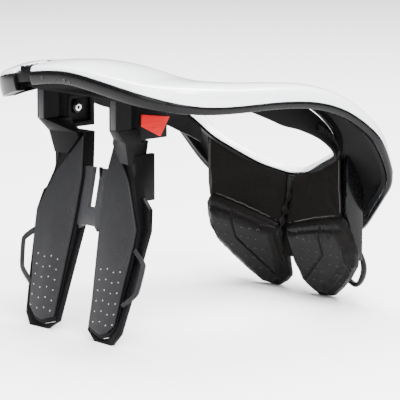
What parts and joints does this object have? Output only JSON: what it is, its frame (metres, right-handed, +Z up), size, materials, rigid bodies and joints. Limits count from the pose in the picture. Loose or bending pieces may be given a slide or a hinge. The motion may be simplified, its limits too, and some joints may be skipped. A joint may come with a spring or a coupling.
{
  "type": "motocross neck brace",
  "caption": "Rigid neck brace: white collar over a black frame, on two back struts and two padded chest plates, with strap loops and a rear closure.",
  "frame": {"origin": "middle of the whole brace, on the floor that it stands on", "axes": "+X to the wearer's right, +Y forward, +Z up"},
  "size_m": [0.26, 0.2838, 0.2186],
  "materials": {
    "white_shell": "glossy white injection moulded",
    "black_plastic": "fine matte moulded",
    "satin_black": "satin black",
    "grained_plastic": "fine leather-like grain",
    "grey_plastic": "matte mid grey",
    "rubber_edge": "soft satin rubber",
    "dark_cloth": "woven padding cloth, very dark brown",
    "red_cloth": "woven webbing",
    "screw_steel": "bright hex head"
  },
  "bodies": {
    "root": {"chassis_plate": "black_plastic", "chest_loop_left": "satin_black", "chest_loop_right": "satin_black", "chest_pad_left": "dark_cloth", "chest_pad_right": "dark_cloth", "chest_plate_left": "satin_black", "chest_plate_right": "satin_black", "closure_housing": "black_plastic", "closure_pin": "satin_black", "ear_screw_left": "screw_steel", "ear_screw_right": "screw_steel", "grip_strip_left": "rubber_edge", "grip_strip_right": "rubber_edge", "liner_seam": "dark_cloth", "neck_liner_left": "dark_cloth", "neck_liner_right": "dark_cloth", "neck_wall_left": "black_plastic", "neck_wall_right": "black_plastic", "pull_tab": "red_cloth", "rear_beam": "black_plastic", "rim_band": "satin_black", "strut_bridge": "grey_plastic", "strut_ear_left": "black_plastic", "strut_ear_right": "black_plastic", "strut_edge_left": "rubber_edge", "strut_edge_right": "rubber_edge", "strut_face_left": "grained_plastic", "strut_face_right": "grained_plastic", "strut_frame_left": "black_plastic", "strut_frame_right": "black_plastic", "strut_loop_left": "grey_plastic", "strut_loop_right": "grey_plastic", "strut_post_left": "grey_plastic", "strut_post_right": "grey_plastic", "top_shell": "white_shell"}
  },
  "joints": []
}
